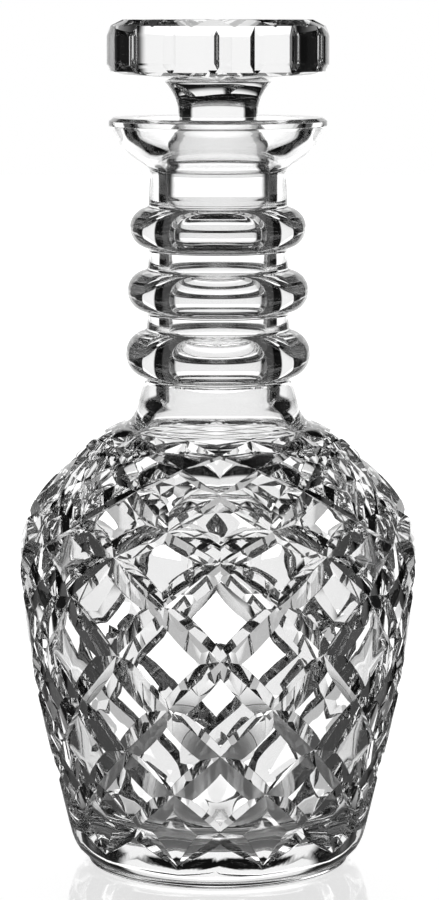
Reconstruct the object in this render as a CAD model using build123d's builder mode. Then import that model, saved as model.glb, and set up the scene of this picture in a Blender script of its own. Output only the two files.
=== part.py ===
"""A cut-glass decanter: a blown bottle, three applied neck rings and a ground stopper.

Millimetres, +Z up. The origin is the middle of the flat ring that the bottle stands on.
"""

from build123d import *
import math
import os

# Bottle: outside sizes
BOTTLE_HEIGHT = 225.0
BODY_RADIUS = 60.0
CROWN_HEIGHT = 133.0
SHOULDER_HEIGHT = 146.5
NECK_BASE_RADIUS = 21.7
NECK_TOP_RADIUS = 20.4
NECK_TOP_HEIGHT = 208.0
LIP_RADIUS = 32.5

# Rim of the lip: an upright ground band that stands out a little, a bevel and a flat top
RIM_FOOT_HEIGHT = 222.5
RIM_STEP = 0.6
RIM_BEVEL_WIDTH = 1.4
RIM_BEVEL_HEIGHT = 1.0
RIM_WIDTH = 7.2

# Foot: its short upright edge, the flat ring that touches the table, and the polished hollow inside it
FOOT_RADIUS = 39.6
FOOT_RISE = 1.8
FOOT_RING_WIDTH = 5.0
FOOT_HOLLOW_DEPTH = 1.4

# Thick base and the bore of the neck
BASE_THICKNESS = 11.0
BASE_DOME = 2.5
BASE_DOME_RADIUS = 28.0
BORE_RADIUS = 14.8
BORE_BASE_HEIGHT = 147.0

# Stopper: a cut disc, a drawn-in waist and a ground plug
STOPPER_HEIGHT = 253.8
DISC_THICKNESS = 16.0
DISC_RADIUS = 33.0
DISC_TOP_BEVEL = 4.8
DISC_FOOT_BEVEL_WIDTH = 3.0
DISC_FOOT_BEVEL_RISE = 2.9
DISC_UNDERCUT = 1.8
STEM_RADIUS = 16.6
WAIST_RADIUS = 11.75
WAIST_HEIGHT = 226.5
PLUG_RADIUS = 15.4
PLUG_TOP_HEIGHT = 212.0
PLUG_LENGTH = 22.0
PLUG_GROUND_LENGTH = 11.5
PLUG_TAPER = 0.3
PLUG_TIP_RADIUS = 12.9
PLUG_TIP_LENGTH = 6.6
PLUG_TIP_BEVEL = 1.0
GROUND_CLEARANCE = 0.08
SOCKET_HEAD_HEIGHT = 209.5
SOCKET_OVERLAP = 1.2
STOPPER_LIFT = 60.0

# Stopper cutting: upright grooves round the edge, and a star on the top between them
DISC_CUTS = 16
DISC_TURN = -2.6
EDGE_GROOVE_WIDTH = 3.8
EDGE_GROOVE_DEPTH = 0.9
STAR_GROOVE_WIDTH = 8.3
STAR_GROOVE_DEPTH = 1.9
STAR_CENTRE_DEPTH = 0.1

# Rings trailed round the neck, from the top one down
RING_NAMES = ("neck_ring_upper", "neck_ring_middle", "neck_ring_lower")
RING_HEIGHTS = (192.3, 173.4, 154.5)
RING_THICKNESSES = (12.3, 12.5, 14.2)
RING_STANDS = (5.6, 6.0, 6.2)

# Body cutting: two hands of straight grooves that cross in rows
GROOVE_COUNT = 11
GROOVE_DEPTH = 2.5
GROOVE_ANGLE = 106.0
GROOVE_REACH = 6.5
GROOVE_TURN = 0.8
OUTLINE_STEP = 0.5
CUT_OVERRUN = 1.0

# Body outline from the foot to the crown: shares of the body's radius and of the crown's height
BODY_OUTLINE_SHARES = (
    (0.718, 0.034),
    (0.757, 0.080),
    (0.820, 0.200),
    (0.885, 0.315),
    (0.950, 0.478),
    (0.988, 0.617),
    (1.000, 0.684),
    (0.990, 0.756),
    (0.963, 0.796),
    (0.898, 0.843),
    (0.803, 0.891),
    (0.700, 0.935),
    (0.597, 0.976),
    (0.505, 1.000),
)

# Rows where the grooves cross, from the foot up, as shares of the crown's height
ROW_SHARES = (0.060, 0.133, 0.220, 0.316, 0.422, 0.536, 0.655, 0.760, 0.827, 0.903, 0.950, 0.978, 0.993)

# Inside of the body from the base to the bore: shares of the body's radius and of the crown's height
INSIDE_SHARES = (
    (0.647, 0.135),
    (0.700, 0.237),
    (0.767, 0.372),
    (0.810, 0.511),
    (0.820, 0.632),
    (0.787, 0.729),
    (0.705, 0.816),
    (0.575, 0.891),
    (0.442, 0.947),
    (0.360, 0.986),
    (0.333, 1.013),
    (0.303, 1.042),
    (0.262, 1.073),
)

# Curves between two sizes, as shares of the step in radius and of the step in height
SHOULDER_SHARES = ((0.56, 0.88), (0.30, 0.54))
LIP_SHARES = ((0.02, 0.10), (0.35, 0.30), (0.67, 0.51), (0.86, 0.72), (0.965, 0.89))
BOWL_SHARES = ((0.05, 0.18), (0.18, 0.31), (0.41, 0.43), (0.69, 0.575), (0.91, 0.755), (0.98, 0.885))
STEM_SHARES = ((0.70, 0.46),)
PLUG_THROAT_SHARES = ((0.08, 0.31), (0.31, 0.43), (0.70, 0.55), (0.94, 0.69))
TOP_BEVEL_SHARES = ((0.77, 0.37),)
FOOT_BEVEL_SHARES = ((0.27, 0.69),)


def between(start, end, shares):
    """Points between two points, at shares of the step in radius and in height, counted from the start."""
    return [(start[0] + r * (end[0] - start[0]), start[1] + z * (end[1] - start[1])) for r, z in shares]


def outline_point(curve, height):
    """The point of a rising outline at a height, found by halving."""
    low = 0.0
    high = 1.0
    for _ in range(40):
        middle = (low + high) / 2
        if (curve @ middle).Y < height:
            low = middle
        else:
            high = middle
    return curve @ low


def outline_run(curve, height):
    """The direction in which a rising outline runs at a height, taken over a short step each way."""
    above = outline_point(curve, height + OUTLINE_STEP)
    below = outline_point(curve, height - OUTLINE_STEP)
    return (above - below).normalized()


def drawn_in(curve, height, depth):
    """The point that lies a depth under a rising outline, square to it at a height."""
    run = outline_run(curve, height)
    return outline_point(curve, height) - Vector(run.Y, -run.X) * depth


def neck_radius(height):
    """Outer radius of the tapered neck at a height."""
    rise = (height - SHOULDER_HEIGHT) / (NECK_TOP_HEIGHT - SHOULDER_HEIGHT)
    return NECK_BASE_RADIUS + rise * (NECK_TOP_RADIUS - NECK_BASE_RADIUS)


def cap_radius(half_width, rise):
    """Radius of the sphere whose cap has a half width and a rise."""
    return (half_width**2 + rise**2) / (2 * rise)


def turned(point, angle):
    """A point of an outline as a place on the glass, turned round the axis by an angle in degrees."""
    return Vector(point.X, 0, point.Y).rotate(Axis.Z, angle)


def groove_bar(plane, half_width, reach, length):
    """The glass that one straight V cut takes away: its bottom edge starts at the plane's origin."""
    with BuildPart() as bar:
        with BuildSketch(plane):
            with BuildLine():
                Polyline((0, 0), (half_width, reach), (-half_width, reach), close=True)
            make_face()
        extrude(amount=length)
    return bar.part


# Outline of the cut body, from the foot to the crown
body_points = [(r * BODY_RADIUS, z * CROWN_HEIGHT) for r, z in BODY_OUTLINE_SHARES]
foot_edge = (FOOT_RADIUS, 0)
foot_head = (FOOT_RADIUS, FOOT_RISE)
with BuildLine() as body_line:
    Spline([foot_head] + body_points)
body_curve = body_line.edges()[0]

# Outline of the plain shoulder, the neck and the bell lip
crown_edge = body_points[-1]
neck_foot = (NECK_BASE_RADIUS, SHOULDER_HEIGHT)
neck_head = (NECK_TOP_RADIUS, NECK_TOP_HEIGHT)
lip_edge = (LIP_RADIUS - RIM_STEP, RIM_FOOT_HEIGHT)
rim_foot = (LIP_RADIUS, RIM_FOOT_HEIGHT)
rim_head = (LIP_RADIUS, BOTTLE_HEIGHT - RIM_BEVEL_HEIGHT)
rim_top = (LIP_RADIUS - RIM_BEVEL_WIDTH, BOTTLE_HEIGHT)
shoulder_points = between(neck_foot, crown_edge, SHOULDER_SHARES)
lip_points = between(neck_head, lip_edge, LIP_SHARES)

# Inside of the bottle: body, bore, ground socket and the bowl of the lip
plug_end_height = PLUG_TOP_HEIGHT - PLUG_LENGTH
ground_end_height = PLUG_TOP_HEIGHT - PLUG_GROUND_LENGTH
socket_end_height = ground_end_height - SOCKET_OVERLAP
taper_slope = PLUG_TAPER / PLUG_GROUND_LENGTH
socket_radius = PLUG_RADIUS + GROUND_CLEARANCE - taper_slope * (PLUG_TOP_HEIGHT - SOCKET_HEAD_HEIGHT)
socket_end_radius = socket_radius - taper_slope * (SOCKET_HEAD_HEIGHT - socket_end_height)
inside_points = [(r * BODY_RADIUS, z * CROWN_HEIGHT) for r, z in INSIDE_SHARES]
dome_top = (0, BASE_THICKNESS + BASE_DOME)
dome_edge = (BASE_DOME_RADIUS, BASE_THICKNESS)
hollow_top = (0, FOOT_HOLLOW_DEPTH)
hollow_edge = (FOOT_RADIUS - FOOT_RING_WIDTH, 0)
bore_foot = (BORE_RADIUS, BORE_BASE_HEIGHT)
bore_head = (BORE_RADIUS, socket_end_height)
socket_foot = (socket_end_radius, socket_end_height)
socket_head = (socket_radius, SOCKET_HEAD_HEIGHT)
bowl_edge = (LIP_RADIUS - RIM_WIDTH, BOTTLE_HEIGHT)
bowl_points = between(socket_head, bowl_edge, BOWL_SHARES)

# Cutters for the body: straight grooves from crossing to crossing, trimmed square to the glass at each row
row_heights = [share * CROWN_HEIGHT for share in ROW_SHARES]
row_depths = [0] + [GROOVE_DEPTH] * (len(row_heights) - 2) + [0]
row_points = [drawn_in(body_curve, height, depth) for height, depth in zip(row_heights, row_depths)]
row_runs = [outline_run(body_curve, height) for height in row_heights]
half_step = 180.0 / GROOVE_COUNT
front = -90.0 + GROOVE_TURN
groove_half_width = GROOVE_REACH * math.tan(math.radians(GROOVE_ANGLE / 2))
groove_lap = 3 * GROOVE_REACH
groove_rows = []
for row, (start, end) in enumerate(zip(row_points, row_points[1:])):
    rise = end - start
    places = PolarLocations(0, GROOVE_COUNT, start_angle=front + (row + 1) * half_step)
    cutters = []
    for hand in (1, -1):
        turn = hand * half_step
        foot = turned(start, 0)
        head = turned(end, turn)
        along = (head - foot).normalized()
        outward = turned(Vector(rise.Y, -rise.X), turn / 2)
        plane = Plane(foot - along * groove_lap, x_dir=outward.cross(along), z_dir=along)
        bar = groove_bar(plane, groove_half_width, GROOVE_REACH, (head - foot).length + 2 * groove_lap)
        with BuildPart() as trimmed:
            add(bar)
            split(bisect_by=Plane(foot, z_dir=turned(row_runs[row], 0)), keep=Keep.TOP)
            split(bisect_by=Plane(head, z_dir=turned(row_runs[row + 1], turn)), keep=Keep.BOTTOM)
        cutters += [place * trimmed.part for place in places]
    groove_rows.append(cutters)

# Bottle: blown body and neck, cut outside, ground in the neck and polished under the foot
with BuildPart() as bottle:
    with BuildSketch(Plane.XZ):
        with BuildLine():
            Spline([foot_head] + body_points)
            Line(crown_edge, shoulder_points[0])
            Spline(shoulder_points + [neck_foot])
            Line(neck_foot, neck_head)
            Spline([neck_head] + lip_points + [lip_edge])
            Polyline(lip_edge, rim_foot, rim_head, rim_top, (0, BOTTLE_HEIGHT), (0, 0), foot_edge, foot_head)
        make_face()
    revolve(axis=Axis.Z)
    with BuildSketch(Plane.XZ):
        with BuildLine():
            RadiusArc(dome_top, dome_edge, cap_radius(BASE_DOME_RADIUS, BASE_DOME))
            Spline([dome_edge] + inside_points + [bore_foot])
            Polyline(bore_foot, bore_head, socket_foot, socket_head)
            Spline([socket_head] + bowl_points + [bowl_edge])
            Polyline(bowl_edge, (0, BOTTLE_HEIGHT), dome_top)
        make_face()
    revolve(axis=Axis.Z, mode=Mode.SUBTRACT)
    with BuildSketch(Plane.XZ):
        with BuildLine():
            RadiusArc(hollow_top, hollow_edge, cap_radius(hollow_edge[0], FOOT_HOLLOW_DEPTH))
            Polyline(hollow_edge, (0, 0), hollow_top)
        make_face()
    revolve(axis=Axis.Z, mode=Mode.SUBTRACT)
    for cutters in groove_rows:
        add(cutters, mode=Mode.SUBTRACT)
    LinearJoint("socket", axis=Axis((0, 0, PLUG_TOP_HEIGHT), (0, 0, 1)), linear_range=(0, STOPPER_LIFT))

# Neck rings: each is a gather trailed round the neck, seated on its taper
rings = []
for name, height, thickness, stand in zip(RING_NAMES, RING_HEIGHTS, RING_THICKNESSES, RING_STANDS):
    ring_foot = height - thickness / 2
    ring_head = height + thickness / 2
    with BuildPart() as ring:
        with BuildSketch(Plane.XZ):
            with BuildLine():
                Line((neck_radius(ring_head), ring_head), (neck_radius(ring_foot), ring_foot))
                ThreePointArc(
                    (neck_radius(ring_foot), ring_foot),
                    (neck_radius(height) + stand, height),
                    (neck_radius(ring_head), ring_head),
                )
            make_face()
        revolve(axis=Axis.Z)
    ring.part.label = name
    rings.append(ring)

# Stopper: turned outline, then the edge grooves and the star
disc_foot_height = STOPPER_HEIGHT - DISC_THICKNESS
disc_flat_radius = DISC_RADIUS - DISC_TOP_BEVEL
disc_top_edge = (disc_flat_radius, STOPPER_HEIGHT)
disc_side_head = (DISC_RADIUS, STOPPER_HEIGHT - DISC_TOP_BEVEL)
disc_side_foot = (DISC_RADIUS, disc_foot_height + DISC_FOOT_BEVEL_RISE)
disc_foot_edge = (DISC_RADIUS - DISC_FOOT_BEVEL_WIDTH, disc_foot_height)
stem_head = (STEM_RADIUS, disc_foot_height - DISC_UNDERCUT)
waist = (WAIST_RADIUS, WAIST_HEIGHT)
plug_head = (PLUG_RADIUS, PLUG_TOP_HEIGHT)
plug_foot = (PLUG_RADIUS - PLUG_TAPER, ground_end_height)
tip_head = (PLUG_TIP_RADIUS, plug_end_height + PLUG_TIP_LENGTH)
tip_foot = (PLUG_TIP_RADIUS, plug_end_height + PLUG_TIP_BEVEL)
tip_edge = (PLUG_TIP_RADIUS - PLUG_TIP_BEVEL, plug_end_height)

# Cutters for the stopper: one upright groove of its edge, and one point of the star
edge_reach = EDGE_GROOVE_DEPTH + CUT_OVERRUN
edge_half_width = EDGE_GROOVE_WIDTH / 2 * edge_reach / EDGE_GROOVE_DEPTH
edge_bottom = (DISC_RADIUS - EDGE_GROOVE_DEPTH, 0, disc_foot_height - CUT_OVERRUN)
edge_plane = Plane(edge_bottom, x_dir=(0, -1, 0), z_dir=(0, 0, 1))
edge_bar = groove_bar(edge_plane, edge_half_width, edge_reach, DISC_THICKNESS + 2 * CUT_OVERRUN)
star_slope = (STAR_GROOVE_DEPTH - STAR_CENTRE_DEPTH) / disc_flat_radius
star_reach = STAR_GROOVE_DEPTH + CUT_OVERRUN
star_half_width = STAR_GROOVE_WIDTH / 2 * star_reach / STAR_GROOVE_DEPTH
star_centre = (0, 0, STOPPER_HEIGHT - STAR_CENTRE_DEPTH)
star_plane = Plane(star_centre, x_dir=(0, 1, 0), z_dir=(1, 0, -star_slope)).offset(-CUT_OVERRUN)
star_bar = groove_bar(star_plane, star_half_width, star_reach, DISC_RADIUS + 3 * CUT_OVERRUN)

with BuildPart() as stopper:
    with BuildSketch(Plane.XZ):
        with BuildLine():
            Polyline(
                [(0, plug_end_height), (0, STOPPER_HEIGHT), disc_top_edge]
                + between(disc_top_edge, disc_side_head, TOP_BEVEL_SHARES)
                + [disc_side_head, disc_side_foot]
                + between(disc_side_foot, disc_foot_edge, FOOT_BEVEL_SHARES)
                + [disc_foot_edge, stem_head]
            )
            Spline(
                [stem_head]
                + between(stem_head, waist, STEM_SHARES)
                + [waist]
                + between(waist, plug_head, PLUG_THROAT_SHARES)
                + [plug_head]
            )
            Polyline(plug_head, plug_foot, tip_head, tip_foot, tip_edge, (0, plug_end_height))
        make_face()
    revolve(axis=Axis.Z)
    with PolarLocations(0, DISC_CUTS, start_angle=DISC_TURN):
        add(edge_bar, mode=Mode.SUBTRACT)
    with PolarLocations(0, DISC_CUTS, start_angle=DISC_TURN + 180 / DISC_CUTS):
        add(star_bar, mode=Mode.SUBTRACT)
    RigidJoint("plug", joint_location=Location((0, 0, PLUG_TOP_HEIGHT)))

bottle.part.label = "bottle"
stopper.part.label = "stopper"
bottle.part.joints["socket"].connect_to(stopper.part.joints["plug"], position=0)

os.makedirs("parts", exist_ok=True)
export_step(bottle.part, "parts/bottle.step")
for ring in rings:
    export_step(ring.part, f"parts/{ring.part.label}.step")
export_step(stopper.part, "parts/stopper.step")
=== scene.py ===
"""A clear cut-glass decanter with a lift-out stopper, on a glossy white table.

The builders work in millimetres, and a piece becomes metres when it is finished. Materials, table and camera
are in metres.
"""

import logging
import math
from dataclasses import dataclass, field
from enum import Enum
from typing import Callable, Sequence

import bmesh
import bpy
import numpy as np
from bmesh.types import BMEdge, BMesh, BMVert
from bpy.types import Material, Node, NodeOutputs, NodeSocket, NodeTree, Object
from mathutils import Matrix, Vector


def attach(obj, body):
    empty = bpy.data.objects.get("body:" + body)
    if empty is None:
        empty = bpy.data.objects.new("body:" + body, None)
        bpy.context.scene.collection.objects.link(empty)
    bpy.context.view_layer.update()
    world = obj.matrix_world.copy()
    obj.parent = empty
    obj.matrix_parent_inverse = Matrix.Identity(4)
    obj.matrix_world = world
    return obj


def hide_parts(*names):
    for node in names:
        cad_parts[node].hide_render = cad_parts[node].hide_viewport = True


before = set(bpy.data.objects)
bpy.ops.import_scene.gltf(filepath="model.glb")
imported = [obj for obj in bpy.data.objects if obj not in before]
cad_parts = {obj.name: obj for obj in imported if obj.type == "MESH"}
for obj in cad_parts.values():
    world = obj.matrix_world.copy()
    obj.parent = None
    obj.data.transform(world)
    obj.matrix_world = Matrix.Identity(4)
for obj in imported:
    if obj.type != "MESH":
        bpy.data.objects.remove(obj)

LOG = logging.getLogger("decanter")
METRE = 0.001
WELD = 0.002
SLIVER = 0.0005
CREASE_ANGLE = 20.0
HALVINGS = 36
DEGREES = 180 / math.pi
HALF_A_BOUNCE = 0.5
AXIS = (0, 0, 1)
MIDDLE = (0, 0, 0)
WHITE = (1.0, 1.0, 1.0, 1.0)

Point = tuple[float, float]


class Body(Enum):
    """The bodies that the pieces ride on."""

    BOTTLE = "bottle"
    STOPPER = "stopper"


class Hand(Enum):
    """The way a groove leans as it climbs: the sign of its turn round the axis."""

    LEFT = 1
    RIGHT = -1


# Drawing


def smooth_curve(points: Sequence[Point], step: float) -> list[Point]:
    """Draws the smooth curve through a few points.

    Args:
        points: Radius and height of each point, in order.
        step: Spacing of the points that come back.

    Returns:
        Close points along the curve, both ends included.
    """
    knots = np.array(points, float)
    along = np.concatenate(([0.0], np.cumsum(np.hypot(*np.diff(knots, axis=0).T))))
    gaps = np.diff(along)
    last = len(knots) - 1
    system = np.zeros((last + 1, last + 1))
    bends = np.zeros((last + 1, 2))
    for i in range(1, last):
        system[i, i - 1 : i + 2] = gaps[i - 1], 2 * (gaps[i - 1] + gaps[i]), gaps[i]
        slopes = (knots[i + 1] - knots[i]) / gaps[i] - (knots[i] - knots[i - 1]) / gaps[i - 1]
        bends[i] = 6 * slopes
    if last == 2:
        system[0, :2] = 1, -1
        system[2, 1:] = -1, 1
    else:
        system[0, :3] = gaps[1], -(gaps[0] + gaps[1]), gaps[0]
        system[last, -3:] = gaps[-1], -(gaps[-2] + gaps[-1]), gaps[-2]
    curl = np.linalg.solve(system, bends)
    count = max(2, round(along[-1] / step))
    places = np.linspace(0.0, along[-1], count + 1)
    at = np.clip(np.searchsorted(along, places, side="right") - 1, 0, last - 1)
    gap = gaps[at][:, None]
    before = (places - along[at])[:, None]
    after = gap - before
    drawn = (curl[at] * after**3 + curl[at + 1] * before**3) / (6 * gap)
    drawn += (knots[at] / gap - curl[at] * gap / 6) * after
    drawn += (knots[at + 1] / gap - curl[at + 1] * gap / 6) * before
    return [(float(r), float(z)) for r, z in drawn]


def straight(start: Point, end: Point, count: int) -> list[Point]:
    """Points along a straight line, both ends included."""
    return [(float(r), float(z)) for r, z in np.linspace(start, end, count + 1)]


def arc(centre: Point, radius: float, start: float, end: float, count: int) -> list[Point]:
    """Points along an arc whose angles are in radians, both ends included."""
    angles = np.linspace(start, end, count + 1)
    return [(centre[0] + radius * math.cos(a), centre[1] + radius * math.sin(a)) for a in angles]


def between(start: Point, end: Point, shares: Sequence[Point]) -> list[Point]:
    """Points at shares of the step in radius and in height from start to end."""
    return [(start[0] + r * (end[0] - start[0]), start[1] + z * (end[1] - start[1])) for r, z in shares]


def cut_back(points: Sequence[Point], reach: float) -> tuple[list[Point], Point]:
    """Shortens a run of points by a length at its end.

    Args:
        points: The run, whose end is shortened.
        reach: Length that goes.

    Returns:
        The points that stay, and the new end.
    """
    left = list(points)
    while len(left) > 2 and math.dist(left[-1], left[-2]) <= reach:
        reach -= math.dist(left[-1], left[-2])
        left.pop()
    share = reach / math.dist(left[-1], left[-2])
    end = (
        left[-1][0] + share * (left[-2][0] - left[-1][0]),
        left[-1][1] + share * (left[-2][1] - left[-1][1]),
    )
    return left[:-1], end


def softened(before: Sequence[Point], after: Sequence[Point], reach: float, count: int = 6) -> list[Point]:
    """Joins two runs that meet in a corner, with the corner rounded as polishing leaves it.

    Args:
        before: Run that ends in the corner.
        after: Run that starts in the corner.
        reach: How far from the corner the rounding starts.
        count: Steps of the rounding.

    Returns:
        One run.
    """
    corner = before[-1]
    first, start = cut_back(before, reach)
    second, end = cut_back(list(reversed(after)), reach)
    rounding = []
    for t in np.linspace(0.0, 1.0, count + 1):
        near, middle, far = (1 - t) ** 2, 2 * t * (1 - t), t**2
        rounding.append(tuple(float(near * a + middle * b + far * c) for a, b, c in zip(start, corner, end)))
    return first + rounding + list(reversed(second))


def joined(first: Sequence[Point], *others: tuple[Sequence[Point], float]) -> list[Point]:
    """Joins runs end to end.

    Args:
        first: The run that comes first.
        others: Each further run, with how far from its first corner the rounding starts.

    Returns:
        One run.
    """
    run = list(first)
    for after, reach in others:
        run = softened(run, after, reach)
    return run


def placed(radius: float, angle: float, height: float) -> Vector:
    """A place from its radius, its angle in radians and its height."""
    return Vector((radius * math.cos(angle), radius * math.sin(angle), height))


# Mesh helpers


def spun(points: Sequence[Point], start_angle: float, steps: int) -> BMesh:
    """Spins a run of points round the axis.

    Args:
        points: Radius and height of each point, in order.
        start_angle: Angle of the first copy, in radians.
        steps: Number of copies round the full turn.

    Returns:
        The spun shell.
    """
    shell = bmesh.new()
    verts = [shell.verts.new(placed(r, start_angle, z)) for r, z in points]
    edges = [shell.edges.new(pair) for pair in zip(verts, verts[1:])]
    bmesh.ops.spin(
        shell,
        geom=verts + edges,
        axis=AXIS,
        cent=MIDDLE,
        angle=2 * math.pi,
        steps=steps,
        use_merge=True,
    )
    return shell


def v_bar(half_width: float, reach: float, length: float) -> BMesh:
    """The glass that one straight V cut takes away, along +X, with its bottom edge on the axis."""
    bar = bmesh.new()
    places = ((0, 0, 0), (0, half_width, reach), (0, -half_width, reach))
    corners = [bar.verts.new(place) for place in places]
    section = bar.faces.new(corners)
    grown = bmesh.ops.extrude_face_region(bar, geom=[section])["geom"]
    moved = [item for item in grown if isinstance(item, BMVert)]
    bmesh.ops.translate(bar, verts=moved, vec=(length, 0, 0))
    bmesh.ops.recalc_face_normals(bar, faces=bar.faces)
    return bar


def add_mesh(target: BMesh, part: BMesh) -> None:
    """Adds a mesh to another and frees it."""
    carrier = bpy.data.meshes.new("carrier")
    part.to_mesh(carrier)
    part.free()
    target.from_mesh(carrier)
    bpy.data.meshes.remove(carrier)


def report(name: str, mesh: BMesh) -> None:
    """Logs the size of a finished mesh and how many of its edges are open."""
    open_edges = sum(1 for edge in mesh.edges if not edge.is_manifold)
    LOG.info("%s: %d faces, %d open edges, %.0f mm3", name, len(mesh.faces), open_edges, mesh.calc_volume())


def crease(mesh: BMesh, sharp_angle: float) -> None:
    """Shades every face smooth and marks the edges that turn more than an angle, in degrees, as sharp."""
    limit = math.radians(sharp_angle)
    for face in mesh.faces:
        face.smooth = True
    for edge in mesh.edges:
        if edge.smooth and len(edge.link_faces) == 2:
            edge.smooth = edge.calc_face_angle(0.0) < limit


def new_object(name: str, mesh: BMesh) -> Object:
    """Puts an object with a mesh into the scene, and frees the mesh."""
    data = bpy.data.meshes.new(name)
    mesh.to_mesh(data)
    mesh.free()
    item = bpy.data.objects.new(name, data)
    bpy.context.scene.collection.objects.link(item)
    return item


def piece_from(name: str, mesh: BMesh, material: Material) -> Object:
    """Turns a closed mesh in millimetres into a creased piece in metres, with its object at the origin.

    Args:
        name: Name of the piece.
        mesh: The mesh, freed here.
        material: Its finish.

    Returns:
        The piece.
    """
    report(name, mesh)
    crease(mesh, CREASE_ANGLE)
    bmesh.ops.scale(mesh, vec=(METRE, METRE, METRE), verts=mesh.verts)
    piece = new_object(name, mesh)
    piece.data.materials.append(material)
    return piece


# Materials


class NodeBench:
    """Places and links the nodes of one node tree."""

    def __init__(self, tree: NodeTree) -> None:
        """Takes the tree to work on."""
        self.tree = tree

    def add(self, kind: str, **settings: object) -> Node:
        """Adds a node of a kind and sets its properties."""
        node = self.tree.nodes.new(kind)
        for key, value in settings.items():
            setattr(node, key, value)
        return node

    def link(self, source: NodeSocket, target: NodeSocket) -> None:
        """Links one socket to another."""
        self.tree.links.new(source, target)

    def feed(self, socket: NodeSocket, value: object) -> None:
        """Links a socket if the value is one, and sets it otherwise."""
        if isinstance(value, NodeSocket):
            self.link(value, socket)
        else:
            socket.default_value = value

    def math(self, operation: str, first: object, second: object = 0.0, third: object = 0.0) -> NodeSocket:
        """Adds a sum and returns its result."""
        node = self.add("ShaderNodeMath", operation=operation)
        for socket, value in zip(node.inputs, (first, second, third)):
            self.feed(socket, value)
        return node.outputs[0]

    def product(self, *factors: object) -> NodeSocket:
        """Multiplies two or more values in order and returns the result."""
        result = factors[0]
        for factor in factors[1:]:
            result = self.math("MULTIPLY", result, factor)
        return result

    def radius(self, x: object, y: object) -> NodeSocket:
        """Adds the distance from the axis and returns it."""
        return self.math("SQRT", self.math("ADD", self.product(x, x), self.product(y, y)))

    def azimuth(self, x: object, y: object) -> NodeSocket:
        """Adds the angle round the axis from +Y, in degrees, and returns it."""
        return self.product(self.math("ARCTAN2", x, y), DEGREES)

    def coordinates(self, kind: str) -> NodeOutputs:
        """Adds the coordinates of a kind and returns their x, y and z."""
        split = self.add("ShaderNodeSeparateXYZ")
        self.link(self.add("ShaderNodeTexCoord").outputs[kind], split.inputs[0])
        return split.outputs

    def fill(self, node: Node, values: dict[str, object]) -> None:
        """Feeds the named inputs of a node."""
        for name, value in values.items():
            self.feed(node.inputs[name], value)

    def ramp(
        self, value: object, low: object, high: object, start: float = 0.0, end: float = 1.0
    ) -> NodeSocket:
        """Adds a soft step between two values and returns its result."""
        node = self.add("ShaderNodeMapRange", interpolation_type="SMOOTHSTEP", clamp=True)
        ends = {"From Min": low, "From Max": high, "To Min": start, "To Max": end}
        self.fill(node, {"Value": value} | ends)
        return node.outputs[0]


def new_material(name: str) -> tuple[Material, NodeBench, Node]:
    """Makes a material and returns it with its bench and its Principled shader."""
    material = bpy.data.materials.new(name)
    material.use_nodes = True
    tree = material.node_tree
    return material, NodeBench(tree), tree.nodes["Principled BSDF"]


def new_group(name: str, inputs: dict[str, float], outputs: Sequence[str]) -> NodeTree:
    """Makes an empty shader node group with named number sockets.

    Args:
        name: Name of the group.
        inputs: Name and first value of each input.
        outputs: Name of each output.

    Returns:
        The group's tree.
    """
    tree = bpy.data.node_groups.new(name, "ShaderNodeTree")
    for label, value in inputs.items():
        socket = tree.interface.new_socket(name=label, in_out="INPUT", socket_type="NodeSocketFloat")
        socket.default_value = value
    for label in outputs:
        tree.interface.new_socket(name=label, in_out="OUTPUT", socket_type="NodeSocketFloat")
    return tree


@dataclass(frozen=True)
class PolishedCrystal:
    """Clear crystal: acid-polished cuts, a fire-polished inside, and a ground plug and socket."""

    name: str = "polished_crystal"
    refraction: float = 1.54
    polish_roughness: float = 0.0
    ground_roughness: float = 0.02
    ground_low: float = 0.1995
    ground_high: float = 0.2120
    ground_inner: float = 0.0140
    ground_radius: float = 0.0166
    line_pitch: float = 0.0009
    line_height: float = 0.000006
    line_detail: float = 2.0

    def ground_zone(self) -> NodeTree:
        """Builds the group that finds the ground joint between plug and neck, and its fine grinding lines.

        Returns:
            A group that gives a mask of the ground glass, and the height of its lines.
        """
        sizes = {
            "Low": self.ground_low,
            "High": self.ground_high,
            "Radius": self.ground_radius,
            "Inner Radius": self.ground_inner,
            "Line Pitch": self.line_pitch,
            "Line Height": self.line_height,
        }
        group = new_group("ground_zone", sizes, ("Mask", "Height"))
        bench = NodeBench(group)
        given = bench.add("NodeGroupInput").outputs
        result = bench.add("NodeGroupOutput")
        x, y, z = bench.coordinates("Object")
        radius = bench.radius(x, y)
        mask = bench.product(
            bench.math("LESS_THAN", radius, given["Radius"]),
            bench.math("GREATER_THAN", radius, given["Inner Radius"]),
            bench.math("GREATER_THAN", z, given["Low"]),
            bench.math("LESS_THAN", z, given["High"]),
        )
        noise = bench.add("ShaderNodeTexNoise", noise_dimensions="1D")
        along = bench.math("DIVIDE", z, given["Line Pitch"])
        bench.fill(noise, {"W": along, "Scale": 1.0, "Detail": self.line_detail})
        height = bench.product(noise.outputs["Fac"], given["Line Height"], mask)
        bench.fill(result, {"Mask": mask, "Height": height})
        return group

    def build(self) -> Material:
        """Builds the material."""
        material, bench, shader = new_material(self.name)
        zone = bench.add("ShaderNodeGroup", node_tree=self.ground_zone())
        bump = bench.add("ShaderNodeBump")
        bench.fill(bump, {"Distance": 1.0, "Height": zone.outputs["Height"]})
        ground = zone.outputs["Mask"]
        roughness = bench.math("MULTIPLY_ADD", ground, self.ground_roughness, self.polish_roughness)
        glass = {"Base Color": WHITE, "IOR": self.refraction, "Transmission Weight": 1.0}
        bench.fill(shader, glass | {"Roughness": roughness, "Normal": bump.outputs["Normal"]})
        return material


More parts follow.
